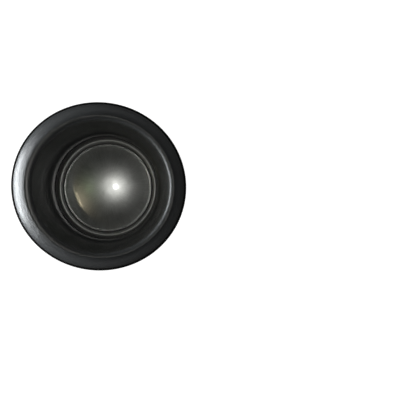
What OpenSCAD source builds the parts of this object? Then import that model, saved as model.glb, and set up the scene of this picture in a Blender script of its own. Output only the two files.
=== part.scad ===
/* [Panel fit] */
// Diameter of the land that centres the tweeter in the panel hole
spigot_d = 43; // [42.5:0.5:54]
// Height of that land behind the panel seat
land_h = 2.2; // [1.6:0.1:3]
// How far the tube behind the land is stepped in
land_step = 0.25; // [0.25:0.05:0.4]
// Wall of the mounting body, measured at the land
wall = 1.2; // [1.1:0.05:1.6]
// Depth of the body behind the panel seat
body_depth = 20; // [19.8:0.2:30]
// Thickness of the gasket under the flange
gasket_t = 0.8; // [0.4:0.1:1.2]
// How far the gasket shows past the flange
gasket_reveal = 0.65; // [0.1:0.05:0.8]

/* [Flange and waveguide] */
// Width of the flange from the lip to the gasket's edge
flange_band = 3.9; // [3.1:0.1:8]
// How far the lip stands outside the bore of the mounting tube
lip_out = 0.3; // [0:0.05:0.4]
// Half the difference between the lip's two half-axes
lip_oval = 0.5; // [0:0.1:1]
// How far the lip is set towards the dome's side of the flange
lip_shift = 0.5; // [0:0.05:0.5]
// Height of the flange crest above the panel seat
crest_h = 4; // [3.2:0.1:5]
// Height of the upright edge of the flange above the panel seat
rim_h = 1.3; // [1.2:0.1:2.4]
// Depth of the waveguide, from the crest down to the surround
mouth_depth = 10; // [9.4:0.1:12]
// Distance of the dome's axis from the spigot's axis
dome_shift = 1.9; // [0.4:0.02:1.9]
// Distance of the throat's axis from the dome's axis
throat_back = 0.25; // [0:0.05:0.4]
// Thickness of the waveguide skin
skin_t = 0.7; // [0.5:0.05:0.75]
// Height of the throat's edge above the surround
throat_h = 1.3; // [0.8:0.1:2]
// Exponent of the bowl's curve: 1 is a quarter ellipse, 2 is a parabola
bowl_power = 2; // [1.4:0.1:2.4]
// Exponent of the flange's curve: 2 is a quarter ellipse, 1 is a cone
flange_power = 1.2; // [1.2:0.1:2]
// Segments around the waveguide
bezel_segments = 80; // [48:8:96]

/* [Diaphragm] */
// Diameter of the voice coil former, the tweeter's nominal size
dome_d = 25; // [20:0.5:25.2]
// Rise of the dome
dome_rise = 3.7; // [3:0.1:5]
// Thickness of the dome
dome_t = 0.3; // [0.2:0.05:0.4]
// Width of the surround's half roll
roll_w = 1.25; // [1:0.05:1.6]
// Height of the surround's half roll
roll_h = 0.75; // [0.4:0.05:1]
// Thickness of the surround
surround_t = 0.25; // [0.2:0.05:0.3]
// Distance from the half roll to the throat wall
throat_gap = 0.45; // [0.4:0.05:0.8]

/* [Motor] */
// Thickness of the voice coil former
former_t = 0.1; // [0.05:0.05:0.15]
// Thickness of the winding
winding_t = 0.3; // [0.2:0.05:0.35]
// Height of the winding
winding_h = 1.8; // [1:0.1:2.2]
// Wall of the steel cup
yoke_wall = 1.1; // [0.9:0.1:1.3]
// Floor of the steel cup
yoke_floor = 2; // [1.5:0.1:2.2]
// Thickness of the magnet
magnet_t = 3; // [2:0.1:3]
// Thickness of the pole piece
pole_t = 2.2; // [1.6:0.1:2.2]
// Radius of the vent through the motor
vent_r = 2.2; // [1:0.1:3]

/* [Clips] */
// Width of a panel clip
clip_w = 4.6; // [3.5:0.1:6]
// Thickness of the spring steel
clip_t = 0.4; // [0.3:0.05:0.45]
// How far the elbow stands out from the clip's foot
clip_out = 1.75; // [1.2:0.05:2]

/* [Terminals] */
// Width of the positive tab
tab_pos_w = 4.8; // [4.8:0.1:5]
// Width of the negative tab
tab_neg_w = 2.8; // [2.8:0.1:3]
// Width of the terminal pocket, measured from the dome's axis outwards
pocket_w = 4.5; // [4.4:0.1:4.8]
// Length of the terminal pocket
pocket_l = 11.2; // [10.8:0.1:11.8]
// Depth of the terminal pocket
pocket_depth = 6.6; // [6:0.1:7]

/* [Hidden] */
$fn = 96;

// fits
fit = 0.1;
shaft_fit = 0.03;
coil_gap_in = 0.25;
coil_gap_out = 0.3;

// mounting body
spigot_r = spigot_d / 2;
tube_r = spigot_r - land_step;
body_ri = spigot_r - wall;
cover_t = 1.4;
cover_r = body_ri - fit;
z_cover = -body_depth + cover_t;

// waveguide
lip_a = body_ri + lip_out + lip_oval;
lip_b = body_ri + lip_out - lip_oval;
rim_band = flange_band - gasket_reveal;
z_surround = crest_h - mouth_depth;
z_throat = z_surround + throat_h;
z_wall = crest_h - 1.3;
throat_x = dome_shift - throat_back;
t_throat = 0.055;
t_wall = 0.72;
throat_fillet = 0.4;

// diaphragm
dome_r = dome_d / 2;
land_ri = dome_r + 0.02;
roll_ri = dome_r + 0.7;
roll_ro = roll_ri + roll_w;
throat_r = roll_ro + throat_gap;
foot_w = 1;
land_ro = throat_r + foot_w;
collar_ro = dome_r + 0.25;
collar_bead_ri = dome_r - 0.13;
collar_ri = dome_r - 0.5;
collar_flat = 0.1;
dome_edge_r = collar_bead_ri - 0.02;

// motor
z_frame = z_surround - surround_t;
frame_t = 1.35;
z_yoke = z_frame - frame_t;
former_ri = dome_r - former_t;
winding_ro = dome_r + winding_t;
pole_r = former_ri - coil_gap_in;
yoke_ri = winding_ro + coil_gap_out;
yoke_ro = yoke_ri + yoke_wall;
z_pole = z_yoke - 0.3;
z_magnet = z_pole - pole_t;
z_yoke_floor = z_magnet - magnet_t;
z_yoke_back = z_yoke_floor - yoke_floor;
z_coil = z_pole - pole_t / 2;
magnet_r = pole_r - 0.95;
pad_t = 1.2;

// diaphragm frame and the body's shelf
frame_ri = yoke_ri + fit;
frame_step_r = yoke_ro + 1;
frame_ro = frame_step_r + 2.3;
shelf_t = 1.2;
z_shelf = z_yoke - shelf_t;
z_shelf_back = z_shelf - shelf_t;
frame_screw_r = frame_ro - 1.1;
frame_screw_angles = [0, 120, 240];
screw_r = 0.7;
screw_head_r = 1.1;
screw_head_h = 0.7;

// lead channels in the frame
lead_angle = 12;
channel_w = 2;
channel_depth = 0.85;
lug_t = 0.3;
z_lug = z_frame - channel_depth + lug_t;
lead_r = 0.15;

// rear bosses
boss_r = 1.9;
boss_at = body_ri - boss_r;
boss_h = 6;
cover_screw_r = 0.8;
cover_screw_head_r = 1.4;
cover_screw_head_h = 0.8;
corner_angles = [45, 135, 225, 315];

// terminal pocket
pocket_wall = 0.7;
pocket_in = dome_shift - yoke_ro - 0.25 - pocket_wall;
pocket_out = pocket_in - pocket_w;
z_pocket = -body_depth + pocket_depth;
pocket_floor = 1;
z_board = z_pocket + pocket_floor;
board_t = 1;
z_foot = z_board + board_t;
foot_t = 0.5;
tab_x = pocket_out + 1.8;
tab_pos_t = 0.8;
tab_neg_t = 0.5;
tab_gap = 1.2;
tab_pos_y = -(tab_pos_w + tab_gap) / 2 + 1;
tab_neg_y = (tab_neg_w + tab_gap) / 2 + 1;
tab_recess = 0.6;
rivet_x = pocket_in - 1.1;
rivet_r = 0.45;
rivet_head_r = 0.7;
rivet_head_h = 0.3;

// clips
clip_angles = [0, 90, 180, 270];
groove_r = body_ri + 0.45;
leaf_r = groove_r + 0.02 + clip_t / 2;
groove_w = clip_w + 1;
z_tip = -land_h - 0.9;
z_elbow = z_tip - 1.9;
z_window = z_elbow - 1.4;
z_pivot = -body_depth + 7.5;
clip_foot_h = 3.9;
clip_foot_gap = 0.2;
clip_rivet_r = 0.7;
clip_rivet_head_r = 1.1;
z_clip_rivet = z_pivot - clip_foot_gap - clip_foot_h / 2;

// wiring
wire_r = 0.35;
wire_sides = 8;
notch_r = 0.9;
notch_at = body_ri - 1.7;
notch_angle = 14;
cap_l = 7.2;
cap_w = 3.4;
cap_h = 6;
cap_y = -(yoke_ro + 0.6 + cap_w / 2);
z_cap = z_shelf_back - 1.4;
cap_pitch = 5;
cap_pin_h = 0.5;

// ---- shared shapes ----

// a point at a radius, an angle and a height about a vertical axis at x
function polar(r, angle, z, x = 0) = [x + r * cos(angle), r * sin(angle), z];

function unit(v) = v / norm(v);

// one horizontal oval of the waveguide: centre, two half-axes, height
function oval(x, a, b, z) = [
    for (i = [0:bezel_segments - 1])
        let (angle = 360 * i / bezel_segments) [x + a * cos(angle), b * sin(angle), z]
];

// an oval a share t of the way from the throat to the lip, widened by grow
function between(t, z, grow = 0) = oval(
    throat_x * (1 - t) + lip_shift * t,
    throat_r + (lip_a - throat_r) * t + grow,
    throat_r + (lip_b - throat_r) * t + grow,
    z
);

// an oval a share of the way from the lip to the rim; the rim is centred on the body
function beyond(share, z) = oval(
    lip_shift * (1 - share), lip_a + rim_band * share, lip_b + rim_band * share, z
);

// how far along and how far up the bowl's curve is at a parameter angle
function along(angle) = sin(angle);
function up(angle) = 1 - pow(cos(angle), bowl_power);

// joins rings of equal length, the last to the first, into a closed ring of skin
module ring_skin(rings) {
    count = len(rings);
    sides = len(rings[0]);
    points = [for (ring = rings) each ring];
    faces = [
        for (i = [0:count - 1], j = [0:sides - 1])
            let (
                next = (i + 1) % count,
                side = (j + 1) % sides,
                a = i * sides + j,
                b = i * sides + side,
                c = next * sides + side,
                d = next * sides + j
            )
            each [[a, b, c], [a, c, d]]
    ];
    polyhedron(points, faces);
}

// Catmull-Rom curve through a list of points
function spline_point(p, i, t) =
    let (
        last = len(p) - 1,
        p0 = p[max(i - 1, 0)],
        p1 = p[i],
        p2 = p[min(i + 1, last)],
        p3 = p[min(i + 2, last)]
    )
    0.5 * (2 * p1 + (p2 - p0) * t + (2 * p0 - 5 * p1 + 4 * p2 - p3) * t * t
        + (3 * p1 - p0 - 3 * p2 + p3) * t * t * t);

function spline(p, steps) = concat(
    [for (i = [0:len(p) - 2], k = [0:steps - 1]) spline_point(p, i, k / steps)],
    [p[len(p) - 1]]
);

// sweeps a round wire along a path; side is a direction the path never runs along
module wire(path, r, side, sides = wire_sides) {
    last = len(path) - 1;
    points = [
        for (i = [0:last])
            let (
                ahead = unit(path[min(i + 1, last)] - path[max(i - 1, 0)]),
                u = unit(cross(side, ahead)),
                v = cross(ahead, u)
            )
            for (j = [0:sides - 1])
                let (angle = 360 * j / sides) path[i] + r * (cos(angle) * u + sin(angle) * v)
    ];
    walls = [
        for (i = [0:last - 1], j = [0:sides - 1])
            let (
                next = (j + 1) % sides,
                a = i * sides + j,
                b = i * sides + next
            )
            each [[a, a + sides, b + sides], [a, b + sides, b]]
    ];
    start = [for (j = [0:sides - 1]) j];
    end = [for (j = [sides - 1:-1:0]) last * sides + j];
    polyhedron(points, concat(walls, [start, end]));
}

module tube(ro, ri, low, high) {
    translate([0, 0, low]) difference() {
        cylinder(r = ro, h = high - low);
        translate([0, 0, -1]) cylinder(r = ri, h = high - low + 2);
    }
}

module disc(r, low, high) {
    translate([0, 0, low]) cylinder(r = r, h = high - low);
}

module at_dome() {
    translate([dome_shift, 0, 0]) children();
}

// repeats its children at a radius and a list of angles
module around(r, angles) {
    for (angle = angles) rotate([0, 0, angle]) translate([r, 0, 0]) children();
}

module block(low, high) {
    translate(low) cube(high - low);
}

// ---- front ----

module waveguide_bezel() {
    bowl_steps = 12;
    lip_steps = 5;
    flange_steps = 8;
    under_at = (gasket_t - z_throat + skin_t) / (z_wall - z_throat + skin_t);
    under_angle = acos(pow(1 - under_at, 1 / bowl_power));
    throat = [
        between(0, z_surround),
        between(0, z_throat - throat_fillet),
        for (angle = [30, 60, 90])
            between(t_throat * (1 - cos(angle)), z_throat - throat_fillet * (1 - sin(angle)))
    ];
    bowl = [
        for (k = [1:bowl_steps])
            let (angle = 90 * k / bowl_steps)
            between(t_throat + (t_wall - t_throat) * along(angle),
                    z_throat + (z_wall - z_throat) * up(angle))
    ];
    lip = [
        for (k = [1:lip_steps])
            let (angle = 90 * k / lip_steps)
            between(t_wall + (1 - t_wall) * (1 - cos(angle)),
                    z_wall + (crest_h - z_wall) * sin(angle))
    ];
    flange = [
        for (k = [1:flange_steps])
            let (angle = 90 * k / flange_steps)
            beyond(pow(sin(angle), 2 / flange_power),
                   rim_h + (crest_h - rim_h) * pow(cos(angle), 2 / flange_power))
    ];
    back = [
        for (k = [bowl_steps:-1:0])
            let (angle = under_angle * k / bowl_steps)
            between(t_throat + (t_wall - t_throat) * along(angle),
                    z_throat - skin_t + (z_wall - z_throat + skin_t) * up(angle),
                    skin_t)
    ];
    color("#2d3032") ring_skin(concat(
        throat, bowl, lip, flange, [beyond(1, gasket_t)], back,
        [between(0, z_throat - skin_t, foot_w), between(0, z_surround, foot_w)]
    ));
}

module flange_gasket() {
    outline = [
        for (i = [0:bezel_segments - 1])
            let (angle = 360 * i / bezel_segments)
            [(lip_a + flange_band) * cos(angle), (lip_b + flange_band) * sin(angle)]
    ];
    color("#0a0a0a") difference() {
        linear_extrude(gasket_t) polygon(outline);
        disc(spigot_r, -1, gasket_t + 1);
    }
}

// ---- mounting body ----

module clip_cutouts() {
    for (angle = clip_angles) rotate([0, 0, angle]) {
        block([body_ri - 1, -groove_w / 2, z_window],
              [spigot_r + 1, groove_w / 2, -land_h - 0.25]);
        block([groove_r, -groove_w / 2, z_clip_rivet - clip_foot_h / 2 - 0.3],
              [spigot_r + 1, groove_w / 2, z_window + 0.5]);
        translate([body_ri - 1, 0, z_clip_rivet]) rotate([0, 90, 0])
            cylinder(r = clip_rivet_r + shaft_fit, h = 3);
    }
}

module mounting_body() {
    color("#1d1f20") difference() {
        union() {
            tube(tube_r, body_ri, -0.5, gasket_t);
            tube(spigot_r, body_ri, -land_h, 0);
            tube(tube_r, body_ri, -body_depth, -land_h);
            difference() {
                disc(body_ri + 0.2, z_shelf_back, z_shelf);
                at_dome() disc(yoke_ro + 4 * fit, z_shelf_back - 1, z_shelf + 1);
            }
            intersection() {
                around(boss_at, corner_angles) disc(boss_r, z_cover, z_cover + boss_h);
                disc(body_ri + 0.2, z_cover - 1, 0);
            }
        }
        around(boss_at, corner_angles)
            disc(cover_screw_r + shaft_fit, z_cover - 1, z_cover + boss_h - 1);
        at_dome() around(frame_screw_r, frame_screw_angles)
            disc(screw_r + fit, z_shelf_back - 1, z_shelf + 1);
        around(notch_at, [180 - notch_angle, 180 + notch_angle])
            disc(notch_r, z_shelf_back - 1, z_shelf + 1);
        clip_cutouts();
    }
}

module rear_cover() {
    half_l = pocket_l / 2;
    color("#1d1f20") difference() {
        union() {
            disc(cover_r, -body_depth, z_cover);
            block([pocket_out - pocket_wall, -half_l - pocket_wall, -body_depth],
                  [pocket_in + pocket_wall, half_l + pocket_wall, z_board]);
        }
        block([pocket_out, -half_l, -body_depth - 1], [pocket_in, half_l, z_pocket]);
        terminal_cuts(z_pocket - 1, z_board + 1);
        around(boss_at, corner_angles) {
            disc(cover_screw_r + fit, -body_depth - 1, z_cover + 1);
            disc(cover_screw_head_r + fit, -body_depth - 1, -body_depth + cover_screw_head_h + fit);
        }
    }
}

module cover_screws() {
    color("#8d9092") around(boss_at, corner_angles) difference() {
        union() {
            disc(cover_screw_head_r, -body_depth + fit, -body_depth + fit + cover_screw_head_h);
            disc(cover_screw_r, -body_depth + fit, z_cover + boss_h - 1.4);
        }
        for (turn = [0, 90]) rotate([0, 0, turn])
            block([-0.9, -0.2, -body_depth - 1], [0.9, 0.2, -body_depth + fit + 0.5]);
    }
}

// ---- diaphragm ----

module diaphragm_frame() {
    color("#26282a") at_dome() difference() {
        union() {
            tube(frame_ro, frame_step_r, z_shelf, z_frame);
            tube(frame_step_r + 0.1, frame_ri, z_yoke, z_frame);
        }
        around(frame_screw_r, frame_screw_angles)
            disc(screw_r + shaft_fit, z_shelf - 1, z_shelf + 2);
        for (angle = [180 - lead_angle, 180 + lead_angle]) rotate([0, 0, angle])
            block([frame_ri - 1, -channel_w / 2, z_frame - channel_depth],
                  [frame_ro + 1, channel_w / 2, z_frame + 1]);
    }
}

module frame_screws() {
    color("#8d9092") at_dome() around(frame_screw_r, frame_screw_angles) difference() {
        union() {
            disc(screw_head_r, z_shelf_back - screw_head_h, z_shelf_back);
            disc(screw_r, z_shelf_back - screw_head_h, z_shelf + 1.7);
        }
        for (turn = [0, 90]) rotate([0, 0, turn])
            block([-0.7, -0.16, z_shelf_back - 2], [0.7, 0.16, z_shelf_back - 0.3]);
    }
}

module surround() {
    steps = 10;
    middle = (roll_ri + roll_ro) / 2;
    over = [
        for (k = [0:steps])
            let (angle = 180 - 180 * k / steps)
            [middle + roll_w / 2 * cos(angle), z_surround + roll_h * sin(angle)]
    ];
    under = [
        for (k = [0:steps])
            let (angle = 180 * k / steps)
            [middle + (roll_w / 2 - surround_t) * cos(angle),
             z_surround - surround_t + roll_h * sin(angle)]
    ];
    color("#3a3c3d") at_dome() rotate_extrude() polygon(concat(
        [[land_ri, z_surround - surround_t], [land_ri, z_surround - 0.01]],
        [[roll_ri - 0.1, z_surround - 0.01]], over,
        [[land_ro, z_surround], [land_ro, z_surround - surround_t]], under
    ));
}

module dome() {
    low = z_surround + collar_flat;
    ball_r = (dome_edge_r * dome_edge_r + dome_rise * dome_rise) / (2 * dome_rise);
    color("#5a5d5f") at_dome() intersection() {
        translate([0, 0, low + dome_rise - ball_r]) difference() {
            sphere(r = ball_r);
            sphere(r = ball_r - dome_t);
        }
        disc(dome_edge_r + 1, low, low + dome_rise + 1);
    }
}

module dome_collar() {
    bead_r = (collar_ro - collar_bead_ri) / 2;
    bead = [
        for (k = [0:8])
            let (angle = 22.5 * k)
            [collar_ro - bead_r + bead_r * cos(angle),
             z_surround + collar_flat + bead_r * sin(angle)]
    ];
    color("#6a6d6f") at_dome() rotate_extrude() polygon(concat(
        [[collar_ri, z_surround], [collar_ro, z_surround]], bead,
        [[collar_ri, z_surround + collar_flat]]
    ));
}

module coil_former() {
    color("#c9a86a") at_dome()
        tube(dome_r, former_ri, z_coil - winding_h / 2 - 0.1, z_surround);
}

module voice_coil() {
    color("#b5652c") at_dome()
        tube(winding_ro, dome_r, z_coil - winding_h / 2, z_coil + winding_h / 2);
}

// ---- motor ----

module yoke_cup() {
    edge = 0.6;
    color("#9b9d9e") at_dome() rotate_extrude() polygon([
        [vent_r, z_yoke_back], [yoke_ro - edge, z_yoke_back], [yoke_ro, z_yoke_back + edge],
        [yoke_ro, z_yoke], [yoke_ri, z_yoke], [yoke_ri, z_yoke_floor], [vent_r, z_yoke_floor]
    ]);
}

module magnet_disc() {
    color("#b9bbbc") at_dome() tube(magnet_r, vent_r, z_yoke_floor, z_magnet);
}

module pole_piece() {
    color("#a3a5a6") at_dome() tube(pole_r, vent_r, z_magnet, z_pole);
}

module damping_pad() {
    color("#6d6a62") at_dome() tube(pole_r - 1.6, vent_r, z_pole, z_pole + pad_t);
}

module chamber_foam() {
    color("#3c3f42") at_dome() disc(yoke_ro - 0.4, z_cover + 0.05, z_yoke_back - fit);
}

// ---- terminals and wiring ----

module terminal_cuts(low, high) {
    block([tab_x - tab_pos_t / 2 - fit, tab_pos_y - tab_pos_w / 2 - fit, low],
          [tab_x + tab_pos_t / 2 + fit, tab_pos_y + tab_pos_w / 2 + fit, high]);
    block([tab_x - tab_neg_t / 2 - fit, tab_neg_y - tab_neg_w / 2 - fit, low],
          [tab_x + tab_neg_t / 2 + fit, tab_neg_y + tab_neg_w / 2 + fit, high]);
    for (y = [tab_pos_y, tab_neg_y]) translate([rivet_x, y, 0])
        disc(rivet_r + shaft_fit, low, high);
}

module terminal_board() {
    half_l = pocket_l / 2;
    color("#7a5a36") difference() {
        block([pocket_out, -half_l, z_board], [pocket_in + pocket_wall / 2, half_l, z_foot]);
        terminal_cuts(z_board - 1, z_foot + 1);
    }
}

// a tab that stands in the pocket, with a foot on the board and a hole for its rivet
module terminal(y, w, t) {
    color("#c8c9c4") difference() {
        union() {
            block([tab_x - t / 2, y - w / 2, -body_depth + tab_recess],
                  [tab_x + t / 2, y + w / 2, z_foot + foot_t]);
            block([tab_x - t / 2, y - w / 2, z_foot],
                  [pocket_in + 0.2, y + w / 2, z_foot + foot_t]);
        }
        translate([rivet_x, y, 0]) disc(rivet_r + shaft_fit, z_foot - 1, z_foot + 2);
        translate([tab_x - 1, y, -body_depth + 2.4]) rotate([0, 90, 0]) cylinder(r = 0.5, h = 2);
    }
}

module terminal_positive() {
    terminal(tab_pos_y, tab_pos_w, tab_pos_t);
}

module terminal_negative() {
    terminal(tab_neg_y, tab_neg_w, tab_neg_t);
}

module terminal_rivets() {
    top = z_foot + foot_t;
    color("#a9aaa6") for (y = [tab_pos_y, tab_neg_y]) translate([rivet_x, y, 0]) {
        disc(rivet_r, z_pocket - rivet_head_h, top + rivet_head_h);
        disc(rivet_head_r, top, top + rivet_head_h);
        disc(rivet_head_r, z_pocket - rivet_head_h, z_pocket);
    }
}

module solder_lugs() {
    color("#c8c9c4") at_dome() for (angle = [180 - lead_angle, 180 + lead_angle])
        rotate([0, 0, angle])
            block([frame_step_r + 0.1, -channel_w / 2 + 0.2, z_lug - lug_t],
                  [frame_ro - 0.2, channel_w / 2 - 0.2, z_lug]);
}

// tinsel lead from the former to its lug; sign is 1 or -1 for the two sides
module lead(sign) {
    angle = 180 - sign * lead_angle;
    run = [
        polar(dome_r + lead_r + 0.01, angle, z_frame - 0.65, dome_shift),
        polar(roll_ri + 0.1, angle, z_frame - 0.4, dome_shift),
        polar(roll_ro - 0.4, angle, z_frame - 0.25, dome_shift),
        polar(throat_r, angle, z_frame - 0.3, dome_shift),
        polar(frame_step_r + 0.9, angle, z_lug + lead_r, dome_shift)
    ];
    color("#b5652c") wire(spline(run, 3), lead_r, [0, 0, 1]);
}

module lead_positive() {
    lead(-1);
}

module lead_negative() {
    lead(1);
}

// the run from a lug over the frame's edge and down through the shelf
function drop(sign) =
    let (angle = 180 - sign * lead_angle, notch = 180 - sign * notch_angle)
    [
        polar(frame_ro - 1.2, angle, z_lug + wire_r, dome_shift),
        polar(frame_ro - 0.2, angle, z_lug + wire_r + 0.05, dome_shift),
        polar(notch_at - 0.3, notch, z_lug - 0.7),
        polar(notch_at, notch, z_shelf + 0.2),
        polar(notch_at, notch, z_shelf_back - 0.2)
    ];

module hookup_wire_positive() {
    run = concat(drop(-1), [
        polar(notch_at - 0.6, 206, z_shelf_back - 0.8),
        polar(notch_at - 0.6, 222, z_shelf_back - 0.9),
        polar(notch_at - 0.5, 240, z_shelf_back - 0.7),
        [-cap_pitch / 2, cap_y, z_cap + cap_pin_h]
    ]);
    color("#8c2a22") wire(spline(run, 3), wire_r, [0.5, 0.8, 0.2]);
}

module hookup_wire_negative() {
    run = concat(drop(1), [
        [tab_x - 0.4, tab_neg_y + 0.5, z_foot + foot_t + wire_r + 0.05],
        [tab_x + 0.6, tab_neg_y, z_foot + foot_t + wire_r]
    ]);
    color("#1b1b1b") wire(spline(run, 3), wire_r, [0.3, 1, 0.2]);
}

module feed_wire_positive() {
    level = z_foot + foot_t + wire_r;
    run = [
        [tab_x + 0.6, tab_pos_y, level],
        [tab_x + 0.3, tab_pos_y - 2, level],
        polar(boss_at - 2.2, 204, level),
        polar(boss_at - 2.1, 222, level - 0.6),
        polar(boss_at - 1.8, 240, level - 0.9),
        [cap_pitch / 2 - 3, cap_y + 0.9, z_cap + cap_pin_h + 0.4],
        [cap_pitch / 2, cap_y, z_cap + cap_pin_h]
    ];
    color("#8c2a22") wire(spline(run, 3), wire_r, [0, 0, 1]);
}

module highpass_capacitor() {
    color("#2c5f9e") {
        block([-cap_l / 2, cap_y - cap_w / 2, z_cap - cap_h], [cap_l / 2, cap_y + cap_w / 2, z_cap]);
        for (x = [-cap_pitch / 2, cap_pitch / 2]) translate([x, cap_y, 0])
            disc(0.3, z_cap - 0.2, z_cap + cap_pin_h - wire_r);
    }
}

// ---- panel clips ----

module clip_feet() {
    top = z_pivot - clip_foot_gap;
    color("#a8aaab") for (angle = clip_angles) rotate([0, 0, angle]) difference() {
        block([leaf_r - clip_t / 2, -clip_w / 2, top - clip_foot_h],
              [leaf_r + clip_t / 2, clip_w / 2, top]);
        translate([leaf_r - 1, 0, z_clip_rivet]) rotate([0, 90, 0])
            cylinder(r = clip_rivet_r + shaft_fit, h = 2);
    }
}

module clip_rivets() {
    inner = body_ri - 0.4;
    outer = leaf_r + clip_t / 2 + 0.25;
    color("#7d7f80") for (angle = clip_angles)
        rotate([0, 0, angle]) translate([0, 0, z_clip_rivet]) rotate([0, 90, 0]) {
            disc(clip_rivet_r, inner, outer);
            disc(clip_rivet_head_r, leaf_r + clip_t / 2, outer);
            intersection() {
                disc(clip_rivet_head_r, inner, body_ri - 0.02 * clip_rivet_head_r);
                rotate([0, -90, 0]) disc(body_ri, -clip_rivet_head_r - 1, clip_rivet_head_r + 1);
            }
        }
}

module clip_leaf(angle) {
    low = z_pivot + 0.1;
    half = clip_t / 2;
    color("#b4b6b7") rotate([0, 0, angle]) translate([0, clip_w / 2, 0]) rotate([90, 0, 0])
        linear_extrude(clip_w) polygon([
            [leaf_r - half, low],
            [leaf_r + half, low],
            [leaf_r + clip_out + half, z_elbow],
            [leaf_r + clip_out - 0.8 + half, z_tip],
            [leaf_r + clip_out - 0.8 - half, z_tip],
            [leaf_r + clip_out - half, z_elbow]
        ]);
}

module clip_leaf_1() {
    clip_leaf(clip_angles[0]);
}

module clip_leaf_2() {
    clip_leaf(clip_angles[1]);
}

module clip_leaf_3() {
    clip_leaf(clip_angles[2]);
}

module clip_leaf_4() {
    clip_leaf(clip_angles[3]);
}

waveguide_bezel();
flange_gasket();
mounting_body();
rear_cover();
cover_screws();
diaphragm_frame();
frame_screws();
surround();
dome();
dome_collar();
coil_former();
voice_coil();
yoke_cup();
magnet_disc();
pole_piece();
damping_pad();
chamber_foam();
terminal_board();
terminal_positive();
terminal_negative();
terminal_rivets();
solder_lugs();
lead_positive();
lead_negative();
hookup_wire_positive();
hookup_wire_negative();
feed_wire_positive();
highpass_capacitor();
clip_feet();
clip_rivets();
clip_leaf_1();
clip_leaf_2();
clip_leaf_3();
clip_leaf_4();
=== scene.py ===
import math

import bpy
import numpy as np
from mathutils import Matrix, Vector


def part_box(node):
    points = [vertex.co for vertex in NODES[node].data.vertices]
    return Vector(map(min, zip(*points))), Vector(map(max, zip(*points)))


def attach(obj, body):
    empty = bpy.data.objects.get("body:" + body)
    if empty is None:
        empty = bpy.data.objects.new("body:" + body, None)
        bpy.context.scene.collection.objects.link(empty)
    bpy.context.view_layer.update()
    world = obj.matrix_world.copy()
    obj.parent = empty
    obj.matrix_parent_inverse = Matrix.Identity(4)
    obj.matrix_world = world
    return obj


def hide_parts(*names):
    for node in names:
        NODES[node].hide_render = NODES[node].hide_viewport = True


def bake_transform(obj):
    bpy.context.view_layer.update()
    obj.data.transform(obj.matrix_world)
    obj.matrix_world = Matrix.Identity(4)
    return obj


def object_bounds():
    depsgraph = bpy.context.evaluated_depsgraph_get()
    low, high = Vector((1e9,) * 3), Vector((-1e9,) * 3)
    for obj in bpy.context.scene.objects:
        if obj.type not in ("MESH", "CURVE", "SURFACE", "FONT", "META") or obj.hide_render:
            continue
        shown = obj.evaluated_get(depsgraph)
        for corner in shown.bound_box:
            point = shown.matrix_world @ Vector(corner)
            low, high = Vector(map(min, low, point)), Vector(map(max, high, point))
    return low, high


bl_info = {
    "name": "Flush-mount dome tweeter",
    "version": (1, 0, 0),
    "blender": (4, 5, 0),
    "location": "View3D > Sidebar > Tweeter",
    "description": "Smooth pieces, finishes and a studio for a packed dome tweeter",
    "category": "Object",
}

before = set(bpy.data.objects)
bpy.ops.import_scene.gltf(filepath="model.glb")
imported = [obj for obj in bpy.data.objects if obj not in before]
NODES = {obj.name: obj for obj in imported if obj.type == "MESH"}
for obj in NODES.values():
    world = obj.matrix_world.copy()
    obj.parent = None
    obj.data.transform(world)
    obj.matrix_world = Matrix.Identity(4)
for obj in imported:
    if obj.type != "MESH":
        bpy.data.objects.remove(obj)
CAD_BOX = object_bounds()
MM = 0.001

# places and sizes that the frame gives
BEZEL_LOW, BEZEL_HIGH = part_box("waveguide_bezel")
GASKET_LOW, GASKET_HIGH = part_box("flange_gasket")
DOME_LOW, DOME_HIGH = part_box("dome")
COLLAR_LOW, COLLAR_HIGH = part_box("dome_collar")
SURROUND_LOW, SURROUND_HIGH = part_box("surround")
FORMER_LOW, FORMER_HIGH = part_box("coil_former")
DOME_X = (DOME_LOW[0] + DOME_HIGH[0]) / 2
DOME_EDGE = (DOME_HIGH[0] - DOME_LOW[0]) / 2
DOME_RISE = DOME_HIGH[2] - DOME_LOW[2]
CREST_Z = BEZEL_HIGH[2]
SURROUND_Z = BEZEL_LOW[2]
RIM_A = BEZEL_HIGH[0]
RIM_B = BEZEL_HIGH[1]
SEAT_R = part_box("mounting_body")[1][0]
SECTORS = 12
LEAD_ANGLE = math.radians(12.0)
FULL_TURN = np.linspace(0, 2 * np.pi, 192, endpoint=False)
OVAL_TURN = np.linspace(0, 2 * np.pi, 288, endpoint=False)[None, :]


# ---- sizes and colours a user may change ----


def length(name, description, default):
    """A length in metres."""
    return bpy.props.FloatProperty(
        name=name, description=description, default=default, min=0.0, unit="LENGTH", precision=5
    )


def share(name, description, default):
    """A number from 0 to 1."""
    return bpy.props.FloatProperty(
        name=name, description=description, default=default, min=0.0, max=1.0, subtype="FACTOR"
    )


def tint(name, description, default):
    """A colour."""
    return bpy.props.FloatVectorProperty(
        name=name, description=description, default=default, size=3, min=0.0, max=1.0, subtype="COLOR"
    )


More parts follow.
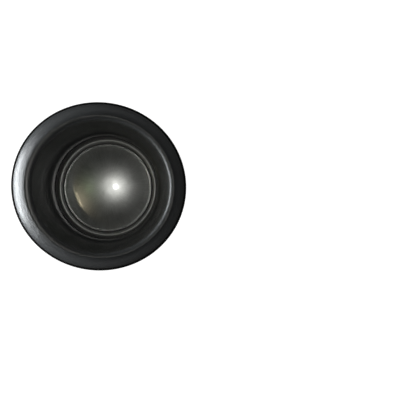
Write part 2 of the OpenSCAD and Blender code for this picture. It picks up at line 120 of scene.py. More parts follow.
class TweeterBezel(bpy.types.PropertyGroup):
    """Shape and finish of the flange and the waveguide."""

    rim_band: length("Flange band", "Width of the flange from lip to edge", 3.25 * MM)
    rim_height: length("Edge height", "Top of the upright edge above the seat", 1.3 * MM)
    lip_shift: length("Lip offset", "Lip's centre towards the dome's side", 0.5 * MM)
    throat_back: length("Throat offset", "Throat axis behind the dome axis", 0.25 * MM)
    throat_radius: length("Throat radius", "Radius of the throat", 14.9 * MM)
    throat_height: length("Throat height", "Throat edge above the surround", 1.3 * MM)
    skin: length("Skin", "Thickness of the waveguide skin", 0.7 * MM)
    lip_height: length("Lip height", "Height of the lip's rounding", 1.3 * MM)
    bowl_power: bpy.props.FloatProperty(
        name="Bowl curve", description="1 is a quarter ellipse, 2 is a parabola",
        default=2.0, min=1.0, max=3.0,
    )
    flange_power: bpy.props.FloatProperty(
        name="Flange curve", description="2 is a quarter ellipse, 1 is a cone",
        default=1.2, min=1.0, max=2.0,
    )
    colour: tint("Moulding", "Colour of the moulded flange and bowl", (0.014, 0.0155, 0.0165))
    gloss: share("Roughness", "Roughness of the moulded flange", 0.36)


class TweeterDiaphragm(bpy.types.PropertyGroup):
    """Shape and finish of the dome and its surround."""

    wall: length("Dome wall", "Thickness of the dome", 0.3 * MM)
    roll_inner: length("Roll inner radius", "Inner radius of the half roll", 13.2 * MM)
    roll_width: length("Roll width", "Width of the half roll", 1.25 * MM)
    roll_height: length("Roll height", "Height of the half roll", 0.75 * MM)
    film: length("Surround film", "Thickness of the surround", 0.25 * MM)
    dome_colour: tint("Dome", "Colour of the dome", (0.50, 0.515, 0.505))
    dome_gloss: share("Dome roughness", "Roughness of the dome", 0.43)
    surround_colour: tint("Surround", "Colour of the surround", (0.20, 0.205, 0.20))


class TweeterStage(bpy.types.PropertyGroup):
    """Floor, light and camera."""

    camera_distance: length("Camera distance", "Camera above the panel seat", 0.24)
    field_width: length("Field width", "Width of the picture at the flange", 0.1144)
    aside: length("Aside", "Tweeter left of the picture's centre", 0.0289)
    above: length("Above", "Tweeter above the picture's centre", 0.0039)
    roll: bpy.props.FloatProperty(
        name="Roll", description="Turn of the long axis in the picture",
        default=math.radians(9.2), subtype="ANGLE",
    )
    room: bpy.props.FloatProperty(
        name="Room light", description="Strength of the room", default=0.015, min=0.0
    )
    horizon: bpy.props.FloatProperty(
        name="Horizon light", description="Strength of the room near the horizon", default=1.15, min=0.0
    )
    side_light: bpy.props.FloatProperty(
        name="Side light", description="Strength of the large side light", default=5.2, min=0.0
    )
    front_light: bpy.props.FloatProperty(
        name="Front light", description="Strength of the small front light", default=0.21, min=0.0
    )


def sizes():
    """The three groups of sizes that the scene holds."""
    scene = bpy.context.scene
    return scene.tweeter_bezel, scene.tweeter_diaphragm, scene.tweeter_stage


# ---- surfaces ----


def ring_faces(rows, columns, wrap_rows):
    """Quads of a grid whose columns wrap round and whose rows wrap if asked, wound outwards."""
    i = np.arange(rows if wrap_rows else rows - 1)[:, None]
    j = np.arange(columns)[None, :]
    below, side = (i + 1) % rows, (j + 1) % columns
    corners = (i * columns + j, i * columns + side, below * columns + side, below * columns + j)
    return np.stack([np.broadcast_to(c, (len(i), columns)) for c in corners], axis=-1).reshape(-1, 4)


def fan(pole, first, columns, turned):
    """Triangles from one vertex to the ring of vertices that starts at first."""
    j = np.arange(columns)
    side = (j + 1) % columns
    ends = (first + side, first + j) if turned else (first + j, first + side)
    return np.stack([np.full(columns, pole), *ends], axis=-1)


def make_mesh(name, points, faces, sharp=30.0):
    """A smooth-shaded object at the origin from an array of points and lists of faces."""
    mesh = bpy.data.meshes.new(name)
    mesh.from_pydata(points.tolist(), [], [f for part in faces for f in part.tolist()])
    mesh.update()
    mesh.shade_smooth()
    mesh.set_sharp_from_angle(angle=math.radians(sharp))
    piece = bpy.data.objects.new(name, mesh)
    bpy.context.scene.collection.objects.link(piece)
    return piece


def ring_piece(name, grid, sharp=30.0):
    """A closed ring: rows of grid run round the section, columns run round the axis."""
    rows, columns = grid.shape[:2]
    return make_mesh(name, grid.reshape(-1, 3), [ring_faces(rows, columns, True)], sharp)


def capped_piece(name, grid, start, end, sharp=30.0):
    """A closed body of rings with one vertex at the start and one at the end."""
    rows, columns = grid.shape[:2]
    points = np.vstack([grid.reshape(-1, 3), start, end])
    count = rows * columns
    faces = [
        ring_faces(rows, columns, False),
        fan(count, 0, columns, True),
        fan(count + 1, count - columns, columns, False),
    ]
    return make_mesh(name, points, faces, sharp)


def open_ended(name, grid):
    """A closed rod: rows run along it, columns run round its section, and each end is a flat face."""
    rows, columns = grid.shape[:2]
    first = np.arange(columns)[None, ::-1]
    last = (rows - 1) * columns + np.arange(columns)[None, :]
    return make_mesh(name, grid.reshape(-1, 3), [ring_faces(rows, columns, False), first, last])


def turned(section, angle, x=0.0):
    """A section of (radius, height) carried round a vertical axis at x: (x + r cos a, r sin a, z)."""
    angle = np.asarray(angle)[None, :]
    radius, height = section[:, 0:1], section[:, 1:2]
    flat = np.ones_like(angle)
    return np.stack([x + radius * np.cos(angle), radius * np.sin(angle), height * flat], axis=-1)


def arc(centre, half_width, half_height, start, end, steps):
    """Points of an ellipse: centre + (half_width cos a, half_height sin a), a in degrees."""
    angle = np.radians(np.linspace(start, end, steps))
    across, up = centre[0] + half_width * np.cos(angle), centre[1] + half_height * np.sin(angle)
    return np.stack([across, up], axis=-1)


def rounded(corners, radius, steps=5):
    """A closed outline: near each corner c, the curve c + (1 - t)^2 into + t^2 out."""
    corners = np.asarray(corners, dtype=float)
    before, after = np.roll(corners, 1, axis=0), np.roll(corners, -1, axis=0)
    into = (before - corners) / np.linalg.norm(before - corners, axis=1, keepdims=True) * radius
    out = (after - corners) / np.linalg.norm(after - corners, axis=1, keepdims=True) * radius
    t = np.linspace(0, 1, steps)[None, :, None]
    curve = corners[:, None] + (1 - t) ** 2 * into[:, None] + t**2 * out[:, None]
    return curve.reshape(-1, corners.shape[1])


def smooth_through(values, t):
    """Catmull-Rom curve that meets value i at t = i: a cubic in each gap, with slopes from the neighbours."""
    last = len(values) - 1
    i = np.clip(np.floor(t).astype(int), 0, last - 1)
    part = t - i
    p0, p1, p2, p3 = (values[np.clip(i + k, 0, last)] for k in (-1, 0, 1, 2))
    cubic = (3 * p1 - p0 - 3 * p2 + p3) * part**3
    square = (2 * p0 - 5 * p1 + 4 * p2 - p3) * part**2
    return 0.5 * (2 * p1 + (p2 - p0) * part + square + cubic)


def swept(path, radius, sides):
    """A round rod along a path: p + r (cos a u + sin a v), with u and v square to the path."""
    ahead = np.gradient(path, axis=0)
    ahead /= np.linalg.norm(ahead, axis=1, keepdims=True)
    spread = np.ptp(path, axis=0)
    across = np.eye(3)[np.argmin(spread)]
    u = np.cross(across, ahead)
    u /= np.linalg.norm(u, axis=1, keepdims=True)
    v = np.cross(ahead, u)
    angle = np.linspace(0, 2 * np.pi, sides, endpoint=False)[None, :, None]
    return path[:, None] + radius * (np.cos(angle) * u[:, None] + np.sin(angle) * v[:, None])


# ---- shader maths ----


class Signal:
    """A shader socket; an expression on it adds Math nodes."""

    def __init__(self, board, socket):
        self.board, self.socket = board, socket

    def maths(self, operation, *values):
        """A Math node's result."""
        return self.board.node("ShaderNodeMath", {"operation": operation}, dict(enumerate(values)))

    def __add__(self, other):
        return self.maths("ADD", self, other)

    def __radd__(self, other):
        return self.maths("ADD", other, self)

    def __sub__(self, other):
        return self.maths("SUBTRACT", self, other)

    def __rsub__(self, other):
        return self.maths("SUBTRACT", other, self)

    def __mul__(self, other):
        return self.maths("MULTIPLY", self, other)

    def __rmul__(self, other):
        return self.maths("MULTIPLY", other, self)

    def sine(self):
        """Its sine."""
        return self.maths("SINE", self)

    def root(self):
        """Its square root."""
        return self.maths("SQRT", self)

    def turn(self, other):
        """The angle whose tangent is this over the other."""
        return self.maths("ARCTAN2", self, other)

    def limits(self, low, high):
        """0 below low, 1 above high and smooth between."""
        return self.board.node(
            "ShaderNodeMapRange", {"interpolation_type": "SMOOTHSTEP"}, {0: self, 1: low, 2: high}
        )


class Board:
    """A node tree that nodes are added to."""

    def __init__(self, tree):
        self.tree = tree

    def node(self, kind, settings, sockets, output=0):
        """A node of a type, with its settings and then its sockets' values or links."""
        made = self.tree.nodes.new(kind)
        for name, value in settings.items():
            setattr(made, name, value)
        for key, value in sockets.items():
            if isinstance(value, Signal):
                self.tree.links.new(value.socket, made.inputs[key])
            else:
                made.inputs[key].default_value = value
        return Signal(self, made.outputs[output])


class Finish(Board):
    """One procedural material and the nodes in it."""

    def __init__(self, name, colour, roughness, metallic=0.0, **constants):
        self.material = bpy.data.materials.new(name)
        self.material.use_nodes = True
        super().__init__(self.material.node_tree)
        self.shader = self.tree.nodes["Principled BSDF"]
        self.shader.inputs["Base Color"].default_value = (*colour, 1.0)
        self.shader.inputs["Roughness"].default_value = roughness
        self.shader.inputs["Metallic"].default_value = metallic
        for socket, value in constants.items():
            self.shader.inputs[socket.replace("_", " ")].default_value = value
        self.colour = colour
        self.material.diffuse_color = (*colour, 1.0)

    def place(self):
        """Object coordinates, in metres."""
        return self.node("ShaderNodeTexCoord", {}, {}, "Object")

    def axes(self, centre=(0.0, 0.0, 0.0)):
        """x, y and z about a centre, and the point itself."""
        point = self.node("ShaderNodeVectorMath", {"operation": "SUBTRACT"}, {0: self.place(), 1: centre})
        split = self.node("ShaderNodeSeparateXYZ", {}, {0: point}).socket.node
        return [Signal(self, output) for output in split.outputs] + [point]

    def stretched(self, scale):
        """Object coordinates times a scale for each axis."""
        return self.node("ShaderNodeMapping", {}, {"Vector": self.place(), "Scale": scale})

    def join(self, x, y, z):
        """A point from three values."""
        return self.node("ShaderNodeCombineXYZ", {}, {0: x, 1: y, 2: z})

    def noise(self, point, scale, detail=3.0, rough=0.55):
        """Smooth random values from 0 to 1."""
        sockets = {"Vector": point, "Scale": scale, "Detail": detail, "Roughness": rough}
        return self.node("ShaderNodeTexNoise", {}, sockets)

    def cells(self, point, scale):
        """Distance to the nearest of scattered points."""
        return self.node("ShaderNodeTexVoronoi", {}, {"Vector": point, "Scale": scale})

    def blend(self, share_of_b, a, b):
        """A colour between a and b."""
        ends = [c if isinstance(c, Signal) else (*c, 1.0) for c in (a, b)]
        return self.node("ShaderNodeMix", {"data_type": "RGBA"}, {0: share_of_b, 6: ends[0], 7: ends[1]}, 2)

    def shade(self, amount, light=1.25, dark=0.75):
        """The finish's own colour, varied from dark to light by a value from 0 to 1."""
        low = tuple(c * dark for c in self.colour)
        high = tuple(min(1.0, c * light) for c in self.colour)
        return self.blend(amount, low, high)

    def paint(self, colour=None, roughness=None, height=None, depth=0.00002, strength=1.0, metallic=None):
        """Links what varies over the surface to the shader and returns the material."""
        for name, signal in (("Base Color", colour), ("Roughness", roughness), ("Metallic", metallic)):
            if signal is not None:
                self.tree.links.new(signal.socket, self.shader.inputs[name])
        if height is not None:
            sockets = {"Height": height, "Distance": depth, "Strength": strength}
            normal = self.node("ShaderNodeBump", {}, sockets)
            self.tree.links.new(normal.socket, self.shader.inputs["Normal"])
        return self.material


def put(piece, material):
    """Gives every slot of an object one material."""
    if not piece.material_slots:
        piece.data.materials.append(material)
    for slot in piece.material_slots:
        slot.material = material


# ---- finishes ----


def moulded_satin(colour, roughness):
    """Satin moulding: fine grain, faint circular polish lines and a soft change of gloss."""
    f = Finish("moulded_satin", colour, roughness, IOR=1.5, Coat_Weight=0.12, Coat_Roughness=0.22)
    x, y, z, point = f.axes()
    cloud = f.noise(point, 160.0, 3.0)
    grain = f.noise(point, 2900.0, 3.0, 0.7)
    radius = (x * x + y * y).root()
    angle = y.turn(x)
    lines = f.noise(f.join(radius * 2400.0, angle * 40.0, z * 2400.0), 1.0, 3.0, 0.6)
    polish = 0.3 * lines + 0.7 * grain
    return f.paint(
        colour=f.shade(0.4 * cloud + 0.6 * grain, 1.6, 0.5),
        roughness=roughness - 0.14 + 0.12 * cloud + 0.2 * polish,
        height=polish,
        depth=0.00013,
        strength=0.9,
    )


def spark_texture(name, colour, roughness):
    """Fine spark-eroded texture of a housing that is hidden behind the panel."""
    f = Finish(name, colour, roughness, IOR=1.48)
    point = f.place()
    grain = f.noise(point, 2600.0, 4.0, 0.7)
    cloud = f.noise(point, 90.0, 2.0)
    return f.paint(
        colour=f.shade(0.5 * grain + 0.5 * cloud, 1.4, 0.65),
        roughness=roughness - 0.08 + 0.16 * grain,
        height=grain,
        depth=0.00004,
        strength=0.6,
    )


def closed_cell_foam():
    """Black gasket foam with fine closed cells."""
    f = Finish("gasket_foam", (0.004, 0.004, 0.0042), 0.85, IOR=1.4, Specular_IOR_Level=0.2)
    cell = f.cells(f.place(), 3800.0)
    cloud = f.noise(f.place(), 300.0)
    return f.paint(
        colour=f.shade(cloud, 1.6, 0.6),
        roughness=0.78 + 0.18 * cell,
        height=cell,
        depth=0.00008,
        strength=0.7,
    )


def satin_dome(colour, roughness):
    """Formed metal dome: faint radial streaks that fade at the top, fine grain and a soft cloud."""
    f = Finish("satin_dome", colour, roughness, 1.0, Coat_Weight=0.6, Coat_Roughness=0.1)
    x, y, _, point = f.axes((DOME_X, 0.0, 0.0))
    radius = (x * x + y * y).root()
    angle = y.turn(x)
    streak = f.noise(f.join(angle * 22.0, radius * 300.0, 0.0), 1.0, 4.0, 0.65)
    grain = f.noise(point, 2800.0, 3.0, 0.65)
    cloud = f.noise(point, 170.0, 2.0)
    mixed = 0.42 * streak + 0.33 * grain + 0.25 * cloud
    return f.paint(
        colour=f.shade(mixed, 1.6, 0.45),
        roughness=roughness - 0.2 + 0.36 * mixed,
        height=0.5 * grain + 0.5 * streak,
        depth=0.00006,
        strength=0.8,
    )


def satin_metal(name, colour, roughness, scale):
    """Plated or brushed metal: streaks that are long along one axis, and a soft cloud."""
    f = Finish(name, colour, roughness, 1.0)
    streak = f.noise(f.stretched(scale), 4.0, 3.0, 0.6)
    cloud = f.noise(f.place(), 220.0, 3.0)
    return f.paint(
        colour=f.shade(0.6 * streak + 0.4 * cloud, 1.15, 0.8),
        roughness=roughness - 0.07 + 0.1 * streak + 0.08 * cloud,
        height=streak,
        depth=0.000012,
        strength=0.4,
    )


def coated_roll(colour):
    """Coated half roll: satin film with a fine weave, and near-black painted shade on the lands inside and
    outside the roll.
    """
    f = Finish("coated_surround", colour, 0.4, 0.55, Coat_Weight=0.2, Coat_Roughness=0.3)
    x, y, _, point = f.axes((DOME_X, 0.0, 0.0))
    radius = (x * x + y * y).root()
    # roll is 1 on the half roll and 0 on both lands; the near-black the lands get is painted shade in the
    # valleys beside the roll
    roll = radius.limits(13.1 * MM, 13.35 * MM) - radius.limits(14.35 * MM, 14.5 * MM)
    weave = (x * 14000.0).sine() * (y * 14000.0).sine()
    cloud = f.noise(point, 700.0)
    satin = f.shade(cloud, 1.25, 0.8)
    return f.paint(
        colour=f.blend(roll, (0.006, 0.006, 0.006), satin),
        roughness=0.8 - 0.42 * roll + 0.1 * cloud,
        metallic=0.55 * roll,
        height=0.3 * weave + cloud,
        depth=0.000012,
        strength=0.4,
    )


def wound_copper():
    """Enamelled winding: turns stacked along the coil's axis, each one a rounded step."""
    f = Finish("wound_copper", (0.62, 0.24, 0.085), 0.3, 1.0, Coat_Weight=0.5, Coat_Roughness=0.12)
    z, point = f.axes((DOME_X, 0.0, 0.0))[2:]
    turns = (z * (2 * math.pi / (0.12 * MM))).sine()
    cloud = f.noise(point, 900.0)
    return f.paint(
        # the colour is lighter on each turn's crest and darker between turns: painted highlight and painted
        # shade
        colour=f.shade(0.5 * cloud + 0.25 + 0.25 * turns, 1.2, 0.7),
        roughness=0.26 + 0.1 * cloud,
        height=turns,
        depth=0.00003,
        strength=0.8,
    )


def tinsel():
    """Tinsel lead: braided strands, with a painted highlight on each crest."""
    f = Finish("braided_tinsel", (0.55, 0.24, 0.11), 0.34, 1.0)
    x, y, z = f.axes((DOME_X, 0.0, 0.0))[:3]
    radius = (x * x + y * y).root()
    braid = (radius * 21000.0 + z * 30000.0).sine() * (y * 30000.0).sine()
    return f.paint(
        # the colour is lighter on each braid crest and darker between strands: painted highlight and painted
        # shade
        colour=f.shade(0.5 + 0.5 * braid, 1.25, 0.6),
        roughness=0.34 + 0.1 * braid,
        height=braid,
        depth=0.00003,
    )


def fibrous(name, colour, scale, depth):
    """Felt or wadding: tangled fibres over soft lumps."""
    f = Finish(name, colour, 0.95, Sheen_Weight=0.3, Specular_IOR_Level=0.2)
    point = f.place()
    warp = f.noise(point, scale * 0.3, 2.0)
    fibre = f.noise(f.join(warp * 3.0, warp * 5.0, warp * 7.0), 6.0, 4.0, 0.7)
    lump = f.noise(point, scale, 4.0, 0.7)
    mixed = 0.5 * fibre + 0.5 * lump
    return f.paint(colour=f.shade(mixed, 1.5, 0.6), roughness=0.88 + 0.1 * mixed, height=mixed, depth=depth)


def laminate():
    """Paper laminate board: crossed fibres under resin."""
    f = Finish("paper_laminate", (0.22, 0.11, 0.045), 0.5, IOR=1.5)
    along = f.noise(f.stretched((200.0, 3000.0, 400.0)), 1.0, 3.0, 0.6)
    across = f.noise(f.stretched((3000.0, 200.0, 400.0)), 1.0, 3.0, 0.6)
    mixed = 0.5 * along + 0.5 * across
    return f.paint(colour=f.shade(mixed, 1.5, 0.6), roughness=0.42 + 0.2 * mixed, height=mixed, depth=0.00002)


def insulation(name, colour):
    """Extruded wire insulation: a faint lengthways drag and a little dust."""
    f = Finish(name, colour, 0.4, IOR=1.5)
    point = f.place()
    drag = f.noise(point, 2400.0, 2.0)
    cloud = f.noise(point, 400.0)
    return f.paint(
        colour=f.shade(cloud, 1.3, 0.75),
        roughness=0.34 + 0.16 * drag,
        height=drag,
        depth=0.00001,
        strength=0.4,
    )


def film_capacitor():
    """Moulded capacitor box with a pitted epoxy fill."""
    f = Finish("capacitor_box", (0.03, 0.12, 0.34), 0.32, IOR=1.5)
    point = f.place()
    pit = f.cells(point, 900.0)
    cloud = f.noise(point, 300.0, 3.0)
    return f.paint(
        colour=f.shade(cloud, 1.2, 0.8),
        roughness=0.25 + 0.2 * cloud,
        height=pit,
        depth=0.00002,
        strength=0.3,
    )


# ---- operators, one for each piece or group of like pieces ----


class BezelOperator(bpy.types.Operator):
    """Lays the smooth flange and waveguide over the moulded bezel"""

    bl_idname = "tweeter.bezel"
    bl_label = "Flange and waveguide"

    def execute(self, context):
        b = sizes()[0]
        lip_a, lip_b = RIM_A - b.rim_band, RIM_B - b.rim_band
        throat_x = DOME_X - b.throat_back
        z_throat = SURROUND_Z + b.throat_height
        z_wall = CREST_Z - b.lip_height
        # shares of the way from throat to lip where the bowl starts and ends, and the throat's fillet
        t_throat, t_wall, fillet = 0.055, 0.72, 0.4 * MM
        # upright stretch below the fillet, and the wall of the foot on the surround
        upright, foot_wall = 0.1 * MM, 1.0 * MM

        def between(t, z, grow=0.0):
            """Rows of (centre, half-axis a, half-axis b, height), a share t from throat to lip."""
            t, z, grow = np.broadcast_arrays(np.asarray(t, float), z, grow)
            across = b.throat_radius + grow
            return np.stack(
                [
                    throat_x * (1 - t) + b.lip_shift * t,
                    across + (lip_a - b.throat_radius) * t,
                    across + (lip_b - b.throat_radius) * t,
                    z,
                ],
                axis=-1,
            )

        def beyond(part, z):
            """Rows of ovals a share of the way from the lip to the rim."""
            part, z = np.broadcast_arrays(np.asarray(part, float), z)
            out = b.rim_band * part
            return np.stack([b.lip_shift * (1 - part), lip_a + out, lip_b + out, z], axis=-1)

        def bowl(angle, floor, grow=0.0):
            """From the throat up to the wall: t by sin, height by 1 - cos^p."""
            up = 1 - np.clip(np.cos(angle), 0, 1) ** b.bowl_power
            part = t_throat + (t_wall - t_throat) * np.sin(angle)
            return between(part, floor + (z_wall - floor) * up, grow)

        quarter = np.linspace(0, np.pi / 2, 33)
        small = quarter[::4]
        lip = quarter[2::2]
        under = (GASKET_HIGH[2] - z_throat + b.skin) / (z_wall - z_throat + b.skin)
        under_angle = math.acos((1 - under) ** (1 / b.bowl_power))
        edge = 2 / b.flange_power
        flange_up = np.clip(np.cos(quarter[1:]), 0, 1) ** edge
        rows = np.vstack(
            [
                between(0.0, SURROUND_Z),
                between(0.0, z_throat - fillet - upright),
                between(t_throat * (1 - np.cos(small)), z_throat - fillet * (1 - np.sin(small))),
                bowl(quarter[1:], z_throat),
                between(t_wall + (1 - t_wall) * (1 - np.cos(lip)), z_wall + (CREST_Z - z_wall) * np.sin(lip)),
                beyond(np.sin(quarter[1:]) ** edge, b.rim_height + (CREST_Z - b.rim_height) * flange_up),
                beyond(1.0, GASKET_HIGH[2]),
                bowl(np.linspace(under_angle, 0, 33), z_throat - b.skin, b.skin),
                between(0.0, z_throat - b.skin, foot_wall),
                between(0.0, SURROUND_Z, foot_wall),
            ]
        )
        x, a, c, z = (rows[:, i : i + 1] for i in range(4))
        grid = np.stack([x + a * np.cos(OVAL_TURN), c * np.sin(OVAL_TURN), z + 0 * OVAL_TURN], axis=-1)
        piece = ring_piece("bezel_moulding", grid[::-1])
        put(piece, moulded_satin(tuple(b.colour), b.gloss))
        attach(piece, "housing")
        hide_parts("waveguide_bezel")
        return {"FINISHED"}


class GasketOperator(bpy.types.Operator):
    """Lays a soft-edged foam gasket under the flange"""

    bl_idname = "tweeter.gasket"
    bl_label = "Flange gasket"

    def execute(self, context):
        width_a, width_b = GASKET_HIGH[0] - SEAT_R, GASKET_HIGH[1] - SEAT_R
        low, high, soft = GASKET_LOW[2], GASKET_HIGH[2], 0.12 * MM
        outline = [[SEAT_R, low], [GASKET_HIGH[0], low], [GASKET_HIGH[0], high], [SEAT_R, high]]
        section = rounded(outline, soft)
        part = ((section[:, 0] - SEAT_R) / width_a)[:, None]
        x = (SEAT_R + width_a * part) * np.cos(OVAL_TURN)
        y = (SEAT_R + width_b * part) * np.sin(OVAL_TURN)
        grid = np.stack([x, y, np.broadcast_to(section[:, 1:2], x.shape)], axis=-1)
        piece = ring_piece("gasket_ring", grid)
        put(piece, closed_cell_foam())
        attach(piece, "housing")
        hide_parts("flange_gasket")
        return {"FINISHED"}


class DomeOperator(bpy.types.Operator):
    """Lays the smooth dome, its bead and the surround that rolls between dome and frame"""

    bl_idname = "tweeter.dome"
    bl_label = "Dome, bead and surround"

    def execute(self, context):
        d = sizes()[1]
        ball = (DOME_EDGE**2 + DOME_RISE**2) / (2 * DOME_RISE)
        centre_z = DOME_LOW[2] + DOME_RISE - ball

        def cap(radius, steps):
            """Half section of a ball cut at the dome's base: (r sin a, c + r cos a)."""
            widest = math.acos((DOME_LOW[2] - centre_z) / radius)
            angle = np.linspace(widest / steps, widest, steps)
            return np.stack([radius * np.sin(angle), centre_z + radius * np.cos(angle)], axis=-1)

        outer_steps, inner_steps = 72, 24
        outer, inner = cap(ball, outer_steps), cap(ball - d.wall, inner_steps)
        section = np.vstack([inner, outer[::-1]])
        grid = turned(section, FULL_TURN, DOME_X)
        dome = capped_piece(
            "dome_shell", grid, [DOME_X, 0, centre_z + ball - d.wall], [DOME_X, 0, centre_z + ball]
        )
        put(dome, satin_dome(tuple(d.dome_colour), d.dome_gloss))
        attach(dome, "diaphragm")
        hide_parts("dome")

        bead_out = (COLLAR_HIGH[0] - COLLAR_LOW[0]) / 2
        bead_low, bead_high = COLLAR_LOW[2], COLLAR_HIGH[2]
        flat, bead_width, bead_steps = 0.1 * MM, 0.75 * MM, 17
        bead_in = bead_out - bead_width
        bead_half = bead_high - bead_low - flat
        bead = arc((bead_out - bead_half, bead_low + flat), bead_half, bead_half, 0, 180, bead_steps)
        foot = [[bead_in, bead_low + flat], [bead_in, bead_low], [bead_out, bead_low]]
        collar = ring_piece("dome_bead", turned(np.vstack([bead, foot]), FULL_TURN, DOME_X))
        put(collar, satin_metal("bead_metal", (0.3, 0.305, 0.3), 0.3, (500.0, 500.0, 500.0)))
        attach(collar, "diaphragm")
        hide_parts("dome_collar")

        roll_outer = d.roll_inner + d.roll_width
        roll_centre = (d.roll_inner + roll_outer) / 2
        glue_gap, inner_relief, inner_land = 0.02 * MM, 0.01 * MM, 0.1 * MM
        land_in = (FORMER_HIGH[0] - FORMER_LOW[0]) / 2 + glue_gap
        land_out = (SURROUND_HIGH[0] - SURROUND_LOW[0]) / 2
        top, film = SURROUND_Z, d.film
        roll_half, roll_steps = d.roll_width / 2, 25
        over = arc((roll_centre, top), roll_half, d.roll_height, 180, 0, roll_steps)
        under = arc((roll_centre, top - film), roll_half - film, d.roll_height, 0, 180, roll_steps)
        inner_top = top - inner_relief
        section = np.vstack(
            [
                [[land_in, top - film], [land_in, inner_top], [d.roll_inner - inner_land, inner_top]],
                over,
                [[land_out, top], [land_out, top - film]],
                under,
            ]
        )
        film_finish = coated_roll(tuple(d.surround_colour))
        sweep, sector_steps = 2 * np.pi / SECTORS, 13
        for sector in range(SECTORS):
            angle = sector * sweep + np.linspace(0, sweep, sector_steps)
            grid = turned(section, angle, DOME_X).transpose(1, 0, 2)
            piece = open_ended(f"surround_roll_{sector + 1:02d}", grid)
            put(piece, film_finish)
            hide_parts("surround")
            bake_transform(piece)

        # each lead runs from the former, under the roll, to its lug on the frame
        strands = tinsel()
        wire_r, wire_sides, wire_steps = 0.15 * MM, 16, 49
        radii = np.array([12.66, 12.9, 13.3, 14.05, 14.9, 15.6, 16.1]) * MM
        drops = np.array([-0.65, -0.55, -0.4, -0.25, -0.3, -0.36, -0.4]) * MM + top - film
        t = np.linspace(0, len(radii) - 1, wire_steps)
        out, fall = (smooth_through(row, t)[:, None] for row in (radii, drops))
        axis, upward = np.array([DOME_X, 0.0, 0.0]), np.array([0.0, 0.0, 1.0])
        for sign, node in ((1, "lead_positive"), (-1, "lead_negative")):
            turn = math.pi - sign * LEAD_ANGLE
            way = np.array([math.cos(turn), math.sin(turn), 0.0])
            path = axis + out * way + fall * upward
            lead = open_ended("tinsel_" + node, swept(path, wire_r, wire_sides))
            put(lead, strands)
            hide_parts(node)
            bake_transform(lead)
        return {"FINISHED"}


class CarriedOperator(bpy.types.Operator):
    """Gives each carried piece of the frame its own procedural finish"""

    bl_idname = "tweeter.finishes"
    bl_label = "Finishes"

    def execute(self, context):
        body = spark_texture("spark_texture_body", (0.020, 0.021, 0.022), 0.55)
        basket = spark_texture("spark_texture_frame", (0.032, 0.033, 0.035), 0.6)
        zinc = satin_metal("zinc_plated", (0.5, 0.5, 0.49), 0.38, (500.0, 500.0, 120.0))
        screw = satin_metal("zinc_screw", (0.46, 0.47, 0.48), 0.32, (900.0, 900.0, 900.0))
        nickel = satin_metal("nickel_plated", (0.6, 0.58, 0.54), 0.2, (300.0, 300.0, 300.0))
        foil = satin_metal("coil_foil", (0.56, 0.42, 0.2), 0.35, (400.0, 400.0, 900.0))
        tin = satin_metal("tin_plated", (0.62, 0.62, 0.59), 0.3, (900.0, 200.0, 900.0))
        rivet = satin_metal("rivet_metal", (0.5, 0.5, 0.49), 0.34, (700.0, 700.0, 700.0))
        spring = satin_metal("spring_steel", (0.46, 0.47, 0.48), 0.28, (1400.0, 1400.0, 90.0))
        red = insulation("red_insulation", (0.3, 0.02, 0.015))
        black = insulation("black_insulation", (0.012, 0.012, 0.012))
        finishes = {
            "mounting_body": body, "rear_cover": body, "diaphragm_frame": basket,
            "cover_screws": screw, "frame_screws": screw, "coil_former": foil,
            "voice_coil": wound_copper(), "yoke_cup": zinc, "pole_piece": zinc,
            "magnet_disc": nickel, "damping_pad": fibrous("grey_felt", (0.17, 0.16, 0.14), 1500.0, 0.0001),
            "chamber_foam": fibrous("chamber_wadding", (0.05, 0.052, 0.056), 900.0, 0.0002),
            "terminal_board": laminate(), "terminal_positive": tin, "terminal_negative": tin,
            "terminal_rivets": rivet, "solder_lugs": tin, "clip_feet": spring, "clip_rivets": rivet,
            "hookup_wire_positive": red, "feed_wire_positive": red, "hookup_wire_negative": black,
            "highpass_capacitor": film_capacitor(),
            "clip_leaf_1": spring, "clip_leaf_2": spring, "clip_leaf_3": spring, "clip_leaf_4": spring,
        }
        for node, material in finishes.items():
            put(NODES[node], material)
        return {"FINISHED"}


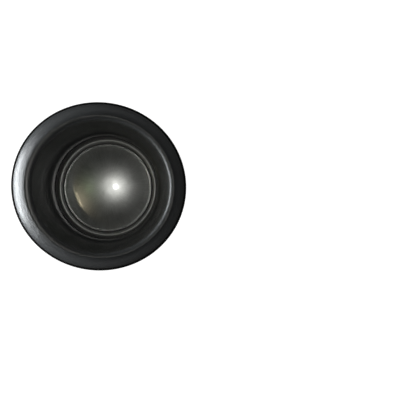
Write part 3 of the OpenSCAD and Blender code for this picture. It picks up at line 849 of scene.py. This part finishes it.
class StageOperator(bpy.types.Operator):
    """Sets the floor, the lights and the camera"""

    bl_idname = "tweeter.stage"
    bl_label = "Stage"

    def execute(self, context):
        s = sizes()[2]
        scene = context.scene
        right = np.array([math.cos(s.roll), math.sin(s.roll), 0.0])
        up = np.array([-math.sin(s.roll), math.cos(s.roll), 0.0])
        aim = s.aside * right - s.above * up

        def place(across, along, height):
            """A point at distances right of and above the tweeter in the picture, and a height."""
            return across * right + along * up + np.array([0.0, 0.0, height])

        lens = bpy.data.cameras.new("front_camera")
        lens.sensor_width = 36.0
        lens.lens = lens.sensor_width * s.camera_distance / s.field_width
        lens.clip_start, lens.clip_end = 0.01, 20.0
        camera = bpy.data.objects.new("front_camera", lens)
        camera.location = (*aim[:2], s.camera_distance)
        camera.rotation_euler = (0.0, 0.0, s.roll)
        scene.collection.objects.link(camera)
        scene.camera = camera

        # the floor lies a little below the flat back, so that the two never coincide
        half, floor_gap = 3.0, 0.05 * MM
        low = CAD_BOX[0][2] - floor_gap
        mesh = bpy.data.meshes.new("floor")
        corners = [(-half, -half, low), (half, -half, low), (half, half, low), (-half, half, low)]
        mesh.from_pydata(corners, [], [(0, 1, 2, 3)])
        floor = bpy.data.objects.new("floor", mesh)
        scene.collection.objects.link(floor)
        paper = Finish("floor_paper", (0.3, 0.3, 0.3), 0.9, Specular_IOR_Level=0.0, Emission_Strength=1.0)
        seen = paper.node("ShaderNodeLightPath", {}, {}, "Is Camera Ray")
        paper.tree.links.new(seen.socket, paper.shader.inputs["Emission Color"])
        below = paper.node("ShaderNodeNewGeometry", {}, {}, "Backfacing")
        solid = Signal(paper, paper.shader.outputs[0])
        clear = paper.node("ShaderNodeBsdfTransparent", {}, {})
        sheet = paper.node("ShaderNodeMixShader", {}, {0: below, 1: solid, 2: clear})
        paper.tree.links.new(sheet.socket, paper.tree.nodes["Material Output"].inputs["Surface"])
        floor.data.materials.append(paper.material)

        def lamp(name, where, target, width, height, power, colour):
            """An area light at a point, facing another."""
            light = bpy.data.lights.new(name, "AREA")
            light.shape, light.size, light.size_y = "RECTANGLE", width, height
            light.energy, light.color = power, colour
            made = bpy.data.objects.new(name, light)
            made.location = where
            way = np.asarray(target, float) - where
            axis = -way / np.linalg.norm(way)
            made.rotation_euler = (
                math.atan2(math.hypot(axis[0], axis[1]), axis[2]), 0.0, math.atan2(axis[0], -axis[1])
            )
            made.visible_camera = False
            scene.collection.objects.link(made)

        centre = np.zeros(3)
        side_height = 0.012
        lamp(
            "side_light", place(-0.42, 0.0, side_height), place(0, 0, side_height),
            0.36, 0.06, s.side_light, (0.93, 0.97, 1.0),
        )
        lamp("front_light", place(0.045, 0.012, 0.29), centre, 0.035, 0.035, s.front_light, (1.0, 0.98, 0.94))
        lamp("warm_light", place(-0.303, -0.112, 0.224), centre, 0.15, 0.006, 0.07, (1.0, 0.84, 0.58))
        lamp("soft_glow", place(-0.20, 0.0, 0.31), centre, 0.08, 0.08, 0.018, (0.7, 1.0, 0.5))

        world = scene.world or bpy.data.worlds.new("room")
        scene.world = world
        world.use_nodes = True
        room = Board(world.node_tree)
        facing = room.node("ShaderNodeTexCoord", {}, {}, "Generated")
        towards = {0: facing, 1: tuple(-right)}
        side = room.node("ShaderNodeVectorMath", {"operation": "DOT_PRODUCT"}, towards, "Value")
        height = room.node("ShaderNodeSeparateXYZ", {}, {0: facing}, 2)
        # the band fades between these squared heights, and both lights lean to one side
        fade_from, fade_to, room_lean, horizon_lean = 0.01, 0.07, 0.8, 0.65
        band = 1.0 - (height * height).limits(fade_from, fade_to)
        level = s.room * (1.0 + room_lean * side) + s.horizon * band * (1.0 + horizon_lean * side)
        background = world.node_tree.nodes["Background"]
        background.inputs["Color"].default_value = (0.96, 0.98, 1.0, 1.0)
        world.node_tree.links.new(level.socket, background.inputs["Strength"])
        scene.view_settings.view_transform = "Standard"
        return {"FINISHED"}


class TweeterPanel(bpy.types.Panel):
    """The tweeter's sizes and its operators"""

    bl_idname = "VIEW3D_PT_tweeter"
    bl_label = "Tweeter"
    bl_space_type = "VIEW_3D"
    bl_region_type = "UI"
    bl_category = "Tweeter"

    def draw(self, context):
        for group in sizes():
            for name in group.__annotations__:
                self.layout.prop(group, name)
        for operator in OPERATORS:
            self.layout.operator(operator.bl_idname)


OPERATORS = (BezelOperator, GasketOperator, DomeOperator, CarriedOperator, StageOperator)
GROUPS = {
    "tweeter_bezel": TweeterBezel,
    "tweeter_diaphragm": TweeterDiaphragm,
    "tweeter_stage": TweeterStage,
}
CLASSES = (*GROUPS.values(), *OPERATORS, TweeterPanel)


def register():
    """Registers the classes and hangs the groups on the scene."""
    for made in CLASSES:
        bpy.utils.register_class(made)
    for name, group in GROUPS.items():
        setattr(bpy.types.Scene, name, bpy.props.PointerProperty(type=group))


def unregister():
    """Takes the groups and the classes away again."""
    for name in GROUPS:
        delattr(bpy.types.Scene, name)
    for made in reversed(CLASSES):
        bpy.utils.unregister_class(made)


def main():
    """Makes every piece in order."""
    register()
    bpy.ops.tweeter.stage()
    bpy.ops.tweeter.bezel()
    bpy.ops.tweeter.gasket()
    bpy.ops.tweeter.dome()
    bpy.ops.tweeter.finishes()


if __name__ == "__main__":
    main()
